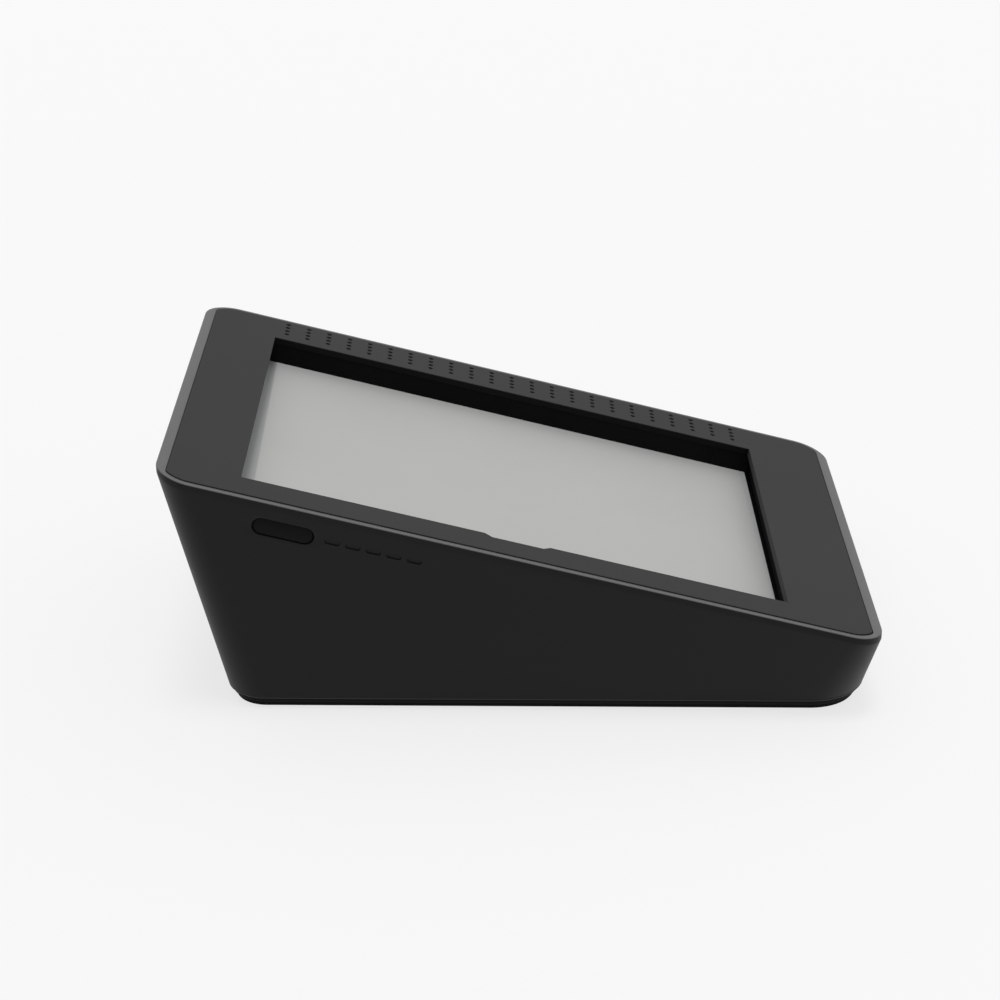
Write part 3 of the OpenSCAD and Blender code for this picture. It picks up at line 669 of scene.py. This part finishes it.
dashes = {
    "from": 78.5, "pitch": 8.3, "count": 5, "length": 6.0, "height": 2.2, "below": 11.0,
    "depth": 0.5, "flare": 0.12, "floorEdge": 0.1,
}
bosses = {
    "inset": 9.5, "radius": 4.5, "height": 11.0, "topEdge": 0.4, "rib": 3.0, "ribShort": 1.6,
    "bore": 2.3, "boreTop": 12.3, "places": (-116.0, -12.0, 92.0),
}
magnets = {
    "places": (-70.0, 0.0, 70.0), "fromEnd": 6.5, "radius": 4.1, "keeper": 1.2, "pocket": 1.9,
}
openWidth = wedge["width"] - 2 * wedge["rimSide"]
openLength = wedge["length"] - 2 * wedge["rimEnd"]
openRadius = wedge["cornerRadius"] - wedge["rimSide"]
magnetY = openLength / 2 - magnets["fromEnd"]
plate = {"thickness": 3.0, "proud": 0.5, "gap": 0.4, "shift": (-0.2, 0.2), "edge": 0.15}
plateBottom = plate["proud"] - plate["thickness"]

topSpec = slabSpec(wedge["width"], wedge["length"], wedge["cornerRadius"])
openSpec = slabSpec(openWidth, wedge["length"] - 2 * wedge["rimSide"], openRadius)
footSpec = (footWidthLow, footWidthHigh, footLow, footHigh, wedge["footRadius"])
bossSpots = np.array([
    (s * (footHalfWidth(y) - bosses["inset"]), y, 0) for y in bosses["places"] for s in (-1, 1)
])


def recessOutline(inset, y=0.0, **outlineArgs):
    # the recess follows the rim's corners and is cut square at the ends
    return squareCut(roundedOutline(openSpec, inset, **outlineArgs), openLength / 2 - inset, y)


def wedgeSurface():
    # one closed profile carried round the body:
    # recess, rim, band, leaning wall, foot, inside wall, ledge
    edge = wedge["recessEdge"]
    rings = [slopeRing(recessOutline(0), -wedge["recessDepth"])]
    for t in np.linspace(0, np.pi / 2, 4):
        rings.append(slopeRing(recessOutline(-edge * (1 - np.cos(t))), edge * (np.sin(t) - 1)))
    for inset, depth in edgeRound(wedge["rimEdge"], 5):
        rings.append(slopeRing(roundedOutline(topSpec, inset), 0, depth))
    topOutline = roundedOutline(topSpec)
    bandTop = slopeRing(topOutline, 0, wedge["band"])
    rings += [slopeRing(topOutline, 0, wedge["band"] - wedge["holdBand"]), bandTop]
    footRing = levelRing(roundedOutline(footSpec), wedge["footZ"] + wedge["footRound"])
    hold = wedge["holdWall"]
    for s in np.concatenate([[hold], np.linspace(0, 1, 25)[1:-1], [1 - hold, 1.0]]):
        rings.append(bandTop * (1 - s) + footRing * s)
    for t in np.linspace(0, np.pi / 2, 6)[1:]:
        outline = roundedOutline(footSpec, wedge["footInset"] * (1 - np.cos(t)))
        z = wedge["footZ"] + wedge["footRound"] * (1 - np.sin(t))
        rings.append(levelRing(outline, z))
    innerFoot = levelRing(roundedOutline(footSpec, wedge["wall"]), wedge["footZ"])
    innerTop = slopeRing(roundedOutline(topSpec, wedge["wall"]), plateBottom - wedge["ledge"])
    rings += [innerFoot * (1 - s) + innerTop * s for s in np.linspace(0, 1, 9)]
    ledgeWidth = openWidth - 2 * wedge["ledgeSide"]
    ledgeLength = openLength - 2 * wedge["ledgeEnd"]
    ledge = roundedOutline(slabSpec(ledgeWidth, ledgeLength, wedge["ledgeRadius"]))
    rings += [slopeRing(ledge, z) for z in (plateBottom - wedge["ledge"], plateBottom)]
    return loft(rings, joined=True)


def ontoSlope(solid, x=0.0, y=0.0, z=0.0):
    points, faces = solid
    return onSlope(points[:, 0] + x, points[:, 1] + y, points[:, 2] + z), faces


def ontoHighWall(solid, x, z):
    return onHighWall(solid[0], x, z), solid[1]


def buttonRing(length, height, inset, x, drop=0.0):
    return pillRing(button["centre"], length, height, inset, x, drop)


def bossPost(x, y):
    # a post with its rib, standing clear inside the wall's own thickness
    clear = 0.01
    z0, z1 = wedge["footZ"] + clear, wedge["footZ"] + bosses["height"]
    radius, edge, half = bosses["radius"], bosses["topEdge"], bosses["rib"] / 2
    post = lathe([(radius, z0), (radius, z1 - edge), (radius - edge, z1)], 28)
    outer = math.copysign(abs(x) + bosses["inset"] - bosses["ribShort"], x)
    corners = np.array([(x, y - half), (outer, y - half), (outer, y + half), (x, y + half)])
    rib = loft([levelRing(corners, z0 + 2 * clear), levelRing(corners, z1 - 2 * clear)])
    return (post[0] + (x, y, 0), post[1]), rib


def flaredPill(length, height, depth, flare):
    # the mouth's rim is rounded by a flare that follows the leaning wall
    rings = [buttonRing(length, height, 0, depth)]
    for step in np.linspace(0, 1, 5):
        inset = -flare * (1 - math.sqrt(max(0.0, 1 - step * step)))
        back = flare * (1 - step)
        rings.append(buttonRing(length, height, inset, lambda y, z: leftWallX(y, z) + back))
    rings.append(buttonRing(length, height, -flare, buttonWall - cutter["outside"]))
    return loft(rings)


def dashCutter(k):
    along = dashes["from"] - k * dashes["pitch"]
    below = dashes["below"] / run
    centre = (along * run, wedge["midHeight"] + along * rise - below)
    depth, flare = dashes["depth"], dashes["flare"]
    levels = ((dashes["floorEdge"], depth), (0.0, depth * 0.6), (-flare, -0.02), (-flare, -2))
    rings = []
    for inset, back in levels:
        place = lambda y, z: leftWallX(y, z) + back
        rings.append(pillRing(centre, dashes["length"], dashes["height"], inset, place))
    return loft(rings)


# how far the cutters run past the surfaces that they open
cutter = {"inside": 12.0, "outside": 6.0, "wallIn": -8.0, "wallOut": 5.0, "overlap": 0.05}
shell = makeObject("wedge_body", wedgeSurface())
for spotX, spotY, _ in bossSpots:
    post, rib = bossPost(spotX, spotY)
    combine(shell, post, "UNION")
    combine(shell, rib, "UNION")
boreFrom = wedge["footZ"] - 1
bore = lathe([(bosses["bore"], boreFrom), (bosses["bore"], bosses["boreTop"])], 24)
combine(shell, copies(bore, bossSpots))
radius = magnets["radius"]
pocket = lathe([(radius, -magnets["keeper"]), (radius, cutter["wallOut"])], 28)
for magnetX in magnets["places"]:
    for end in (-1, 1):
        combine(shell, ontoSlope(pocket, magnetX, end * magnetY, plateBottom))
mouthEnd = buttonWall + cutter["inside"]
combine(shell, flaredPill(button["length"], button["height"], mouthEnd, button["mouth"]))
flangeRoom = button["flangeEdge"] + button["gap"]
retainerRoom = [button[side] + button["retainerGap"] for side in ("retainerEnd", "retainerSide")]
for end, side, x in ((flangeRoom, flangeRoom, flangeX), (*retainerRoom, retainerX)):
    length, height = button["length"] + 2 * end, button["height"] + 2 * side
    start = x - cutter["overlap"]
    combine(shell, loft([buttonRing(length, height, 0, at) for at in (start, start + 8)]))
for k in range(dashes["count"]):
    combine(shell, dashCutter(k))
outlet = {"z": 30.0, "radius": 9.0, "bore": 4.0, "lip": 2.0, "innerLip": 1.5}
lockSlot = {"x": 62.0, "z": 34.0, "width": 10.0, "height": 7.0, "radius": 0.6}
hole = lathe([(outlet["radius"], cutter["wallIn"]), (outlet["radius"], cutter["wallOut"])], 48)
combine(shell, ontoHighWall(hole, 0, outlet["z"]))
slotSpec = slabSpec(lockSlot["width"], lockSlot["height"], lockSlot["radius"])
slotOutline = roundedOutline(slotSpec, 0, 4, 2, 2)
slotSolid = loft([levelRing(slotOutline, cutter[side]) for side in ("wallIn", "wallOut")])
combine(shell, ontoHighWall(slotSolid, lockSlot["x"], lockSlot["z"]))
finishPiece(shell, "base", "shell_plastic", "base_shell", crease=25.0, flatOver=400.0)
print("wedge body made:", len(shell.data.polygons), "faces")


# ---- front cover plate
window = {
    "width": 158.2, "length": 226.5, "x": -4.2, "y": 3.0, "edge": 0.3,
    "notch": 27.0, "notchDepth": 2.3, "notchSlant": 3.0,
}
soundHoles = {
    "rows": 4, "columns": 23, "columnPitch": 9.74, "rowPitch": 4.07, "radius": 1.1,
    "x": 88.1, "y": 4.3, "edge": 0.18,
}


def windowOutline(grow):
    # the window with its camera notch: every side moves out by grow, the corners keep their angles
    halfWidth, halfLength = window["width"] / 2 + grow, window["length"] / 2 + grow
    x0, x1 = window["x"] - halfWidth, window["x"] + halfWidth
    y, y0, y1 = window["y"], window["y"] - halfLength, window["y"] + halfLength
    half = window["notch"] / 2 + grow * 0.47  # a slanted side moves along its own normal
    short = half - window["notchSlant"]
    notchX = x0 - window["notchDepth"]
    return np.array([
        (x0, y0), (x1, y0), (x1, y1), (x0, y1),
        (x0, y + half), (notchX, y + short), (notchX, y - short), (x0, y - half),
    ])


def roundedMouth(radius, steps=4):
    # (growth, depth) pairs of a cutter that leaves a quarter-round edge at the top face
    t = np.linspace(0, np.pi / 2, steps + 1)
    return np.stack([radius * (1 - np.cos(t)), radius * (1 - np.sin(t))], -1)


def coverPlate():
    gap, edge = plate["gap"], plate["edge"]
    levels = [(gap + inset, plate["proud"] - depth) for inset, depth in edgeRound(edge, 4)]
    levels += [(gap + inset, plateBottom + depth) for inset, depth in edgeRound(edge, 2)[::-1]]
    rings = []
    for inset, z in levels:
        outline = recessOutline(inset, corner=18, side=2, end=2) + plate["shift"]
        rings.append(slopeRing(outline, z))
    return loft(rings)


def windowCutter():
    top = plate["proud"]
    rings = [slopeRing(windowOutline(0), plateBottom - 1)]
    for grow, depth in roundedMouth(window["edge"]):
        rings.append(slopeRing(windowOutline(grow), top - depth))
    rings.append(slopeRing(windowOutline(window["edge"]), top + 2))
    return loft(rings)


def gridLine(middle, count, pitch):
    return middle + (np.arange(count) - (count - 1) / 2) * pitch


def soundHoleCutter():
    radius, edge, top = soundHoles["radius"], soundHoles["edge"], plate["proud"]
    mouth = [(radius, plateBottom - 1)]
    mouth += [(radius + grow, top - depth) for grow, depth in roundedMouth(edge, 3)]
    mouth.append((radius + edge, top + 1))
    across = gridLine(soundHoles["x"], soundHoles["rows"], soundHoles["rowPitch"])
    along = gridLine(soundHoles["y"], soundHoles["columns"], soundHoles["columnPitch"])
    return copies(lathe(mouth, 20), [(x, y, 0) for y in along for x in across])


cover = makeObject("cover_plate", coverPlate())
combine(cover, windowCutter())
combine(cover, ontoSlope(soundHoleCutter()))
magnetPlaces = [(x, s * magnetY, plateBottom) for x in magnets["places"] for s in (-1, 1)]
pocket = lathe([(magnets["radius"], -1.0), (magnets["radius"], magnets["pocket"])], 28)
combine(cover, ontoSlope(copies(pocket, magnetPlaces)))
finishPiece(cover, "front_cover", "faceplate_metal", "faceplate", crease=40.0, flatOver=1.0)
print("cover plate made:", len(cover.data.polygons), "faces")


# ---- screen glass, a little short of its frame all round
glassGap = 0.3
glassSpec = slabSpec(
    screen["width"] - 2 * glassGap, screen["length"] - 2 * glassGap, screen["radius"] - glassGap
)
glassSlab = softSlab(
    glassSpec, screen["topZ"] - screen["thickness"], screen["topZ"], levelRing, 0.25, 3,
    corner=12, side=2, end=2,
)
glass = makeObject("screen_glass", ontoSlope(glassSlab, screen["centreX"], screen["centreY"]))
finishPiece(glass, "base", "screen_glass", "cover_glass")


# ---- side button
nib = {
    "length": 12.0, "height": 2.0, "keyZ": 2.9, "keyTravel": 0.3, "keyStand": 0.35,
    "unitHeight": 7.0, "edge": 0.3, "short": 0.05,
}
crown = {"insets": (3.3, 2.8, 2.2, 1.5), "bulge": 0.02, "reach": 3.6, "edge": 0.6, "shoulder": 0.2}
unitBottom = screen["topZ"] - nib["unitHeight"]
keyFace = screen["centreX"] - screen["width"] / 2 - nib["keyStand"]
nibEnd = keyFace - (button["travel"] - nib["keyTravel"])
buttonAbove = (button["centre"][1] - wedge["midHeight"]) * run - button["centre"][0] * rise
nibDrop = buttonAbove - unitBottom - nib["keyZ"]


def buttonFace():
    # crowned face with a rounded edge, then a straight skirt down to the flange
    length, height = button["length"] - 2 * button["gap"], button["height"] - 2 * button["gap"]
    face = buttonWall + button["recess"]
    rings = []
    for inset in crown["insets"]:
        fall = crown["bulge"] * (crown["reach"] - inset) ** 2
        rings.append(buttonRing(length, height, inset, face + fall))
    for inset, depth in edgeRound(crown["edge"], 5):
        rings.append(buttonRing(length, height, inset, face + crown["shoulder"] + depth))
    rings.append(buttonRing(length, height, 0, flangeX + 0.1))
    return loft(rings)


def buttonPart(length, height, levels, drop=0.0):
    return loft([buttonRing(length, height, inset, x, drop) for inset, x in levels])


buttonPiece = makeObject("side_button_cap", buttonFace())
flangeEnd = flangeX + button["flange"]
flange = buttonPart(
    button["length"] + 2 * button["flangeEdge"], button["height"] + 2 * button["flangeEdge"],
    ((0.15, flangeX), (0.0, flangeX + 0.15), (0.0, flangeEnd - 0.1), (0.1, flangeEnd)),
)
combine(buttonPiece, flange, "UNION")
nibTip = nibEnd - nib["short"]  # stops just short of the key when fully pressed
nibLevels = ((0.0, flangeX + 0.5), (0.0, nibTip - nib["edge"]), (nib["edge"], nibTip))
combine(buttonPiece, buttonPart(nib["length"], nib["height"], nibLevels, nibDrop), "UNION")
finishPiece(buttonPiece, "side_button", "button_silicone", "side_button", crease=35.0)


# ---- underside: base plate and grip mat
under = {
    "plateTop": 4.8, "plateBottom": 2.5, "plateInset": 2.0, "plateEdge": 0.35, "screwHole": 1.7,
    "fixPitch": 100.0, "fixRadius": 2.25, "footHole": 1.4, "matInset": 3.4, "matEdge": 0.55,
    "matScrew": 3.6, "matFix": 6.0, "matFoot": 3.6, "footX": 48.0, "footY": (-83.0, 93.0),
}
fixHalf = under["fixPitch"] / 2
fixSpots = [(x * fixHalf, y * fixHalf, 0) for x in (-1, 1) for y in (-1, 1)]
footSpots = [(x * under["footX"], y, 0) for x in (-1, 1) for y in under["footY"]]


def drill(piece, radius, spots):
    combine(piece, copies(lathe([(radius, -1.0), (radius, 6.0)], 28), spots))


def insetSpec(spec, inset):
    lowWidth, highWidth, lowY, highY, radii = spec
    return (
        lowWidth - 2 * inset, highWidth - 2 * inset, lowY + inset, highY - inset,
        np.subtract(radii, inset),
    )


def underSlab(inset, low, high, edge, steps):
    spec = insetSpec(footSpec, inset)
    return softSlab(spec, low, high, levelRing, edge, steps, corner=14, side=8, end=6)


basePlate = makeObject("base_plate_steel", underSlab(
    under["plateInset"], under["plateBottom"], under["plateTop"], under["plateEdge"], 3
))
gripMat = makeObject("grip_mat", underSlab(
    under["matInset"], 0.0, under["plateBottom"], under["matEdge"], 4
))
for piece, radii in (
    (basePlate, (under["screwHole"], under["fixRadius"], under["footHole"])),
    (gripMat, (under["matScrew"], under["matFix"], under["matFoot"])),
):
    for radius, spots in zip(radii, (bossSpots, fixSpots, footSpots)):
        drill(piece, radius, spots)
finishPiece(basePlate, "base", "base_steel", "base_plate", flatOver=20.0)
finishPiece(gripMat, "base", "mat_rubber", "anti_slip_mat", flatOver=20.0)

# ---- cable outlet's grommet, turned about the hole's axis
lipR, innerR = outlet["radius"] + outlet["lip"], outlet["radius"] + outlet["innerLip"]
groove, bore = outlet["radius"] - 0.05, outlet["bore"]
wallIn = -wedge["wall"]
grommetProfile = [
    (bore, wallIn - 0.9), (bore + 0.15, wallIn - 1.2), (bore + 0.5, wallIn - 1.4),
    (innerR - 0.5, wallIn - 1.4), (innerR - 0.1, wallIn - 1.2), (innerR, wallIn - 0.8),
    (innerR, wallIn - 0.05), (groove, wallIn), (groove, 0.0),
    (lipR, 0.02), (lipR, 0.5), (lipR - 0.15, 0.9), (lipR - 0.5, 1.15), (lipR - 1.0, 1.2),
    (bore + 1.1, 1.2), (bore + 0.5, 1.1), (bore + 0.15, 0.8), (bore, 0.3),
]
grommetSolid = lathe(grommetProfile, 56, closed=True)
grommet = makeObject("cable_grommet_rubber", ontoHighWall(grommetSolid, 0, outlet["z"]))
finishPiece(grommet, "base", "mat_rubber", "cable_grommet")
print("small pieces made")

# ---- studio
studio = {
    # world brightness away from the bright side and towards it
    "front": 0.25, "back": 0.95, "brightSide": (0.88, -0.4, 0.25),
    "sun": 1.1, "sunAngle": 16.0, "sunLean": (0.0, -8.0),
    "floorReach": 40.0, "floorZ": -0.0002, "floorGrey": 0.2, "floorGlow": 0.735,
}
corners = [(x * studio["floorReach"], y * studio["floorReach"], studio["floorZ"])
           for x, y in ((-1, -1), (1, -1), (1, 1), (-1, 1))]
floorMesh = bpy.data.meshes.new("floor")
floorMesh.from_pydata(corners, [], [(0, 1, 2, 3)])
floor = bpy.data.objects.new("floor", floorMesh)
scene.collection.objects.link(floor)
floorMaterial, _, floorShader = startMaterial("floor_white")
for title, value in {
    "Base Color": (*[studio["floorGrey"]] * 3, 1),
    "Emission Color": (1, 1, 1, 1),
    "Emission Strength": studio["floorGlow"],
    "Roughness": 0.9,
    "Specular IOR Level": 0.1,
}.items():
    floorShader.inputs[title].default_value = value
floor.data.materials.append(floorMaterial)

world = bpy.data.worlds.new("studio")
world.use_nodes = True
scene.world = world
worldTree = world.node_tree
backdrop = worldTree.nodes["Background"]
backdrop.inputs["Color"].default_value = (1, 1, 1, 1)
direction = worldTree.nodes.new("ShaderNodeTexCoord")
facing = addNode(worldTree, "ShaderNodeVectorMath", operation="DOT_PRODUCT")
facing.inputs[1].default_value = Vector(studio["brightSide"]).normalized()
worldTree.links.new(direction.outputs["Generated"], facing.inputs[0])
facingValue = facing.outputs["Value"]
brightness = mapTo(worldTree, facingValue, studio["front"], studio["back"], -0.9, 0.9)
worldTree.links.new(brightness, backdrop.inputs["Strength"])

sunData = bpy.data.lights.new("topLight", "SUN")
sunData.energy, sunData.angle = studio["sun"], math.radians(studio["sunAngle"])
sunLamp = bpy.data.objects.new("topLight", sunData)
scene.collection.objects.link(sunLamp)
sunLamp.rotation_euler = [math.radians(v) for v in (*studio["sunLean"], 0)]
scene.view_settings.view_transform = "Standard"

cameraPlace = {
    "lens": 83.88, "location": (-0.9277, 0.0121, 0.4758), "pitch": 24.407, "yaw": 0.143,
}
cameraData = bpy.data.cameras.new("camera")
cameraData.lens, cameraData.sensor_width = cameraPlace["lens"], 36.0
cameraData.clip_start = 0.05
camera = bpy.data.objects.new("camera", cameraData)
scene.collection.objects.link(camera)
camera.location = cameraPlace["location"]
turned = (90 - cameraPlace["pitch"], 0, -90 - cameraPlace["yaw"])
camera.rotation_euler = [math.radians(angle) for angle in turned]
scene.camera = camera
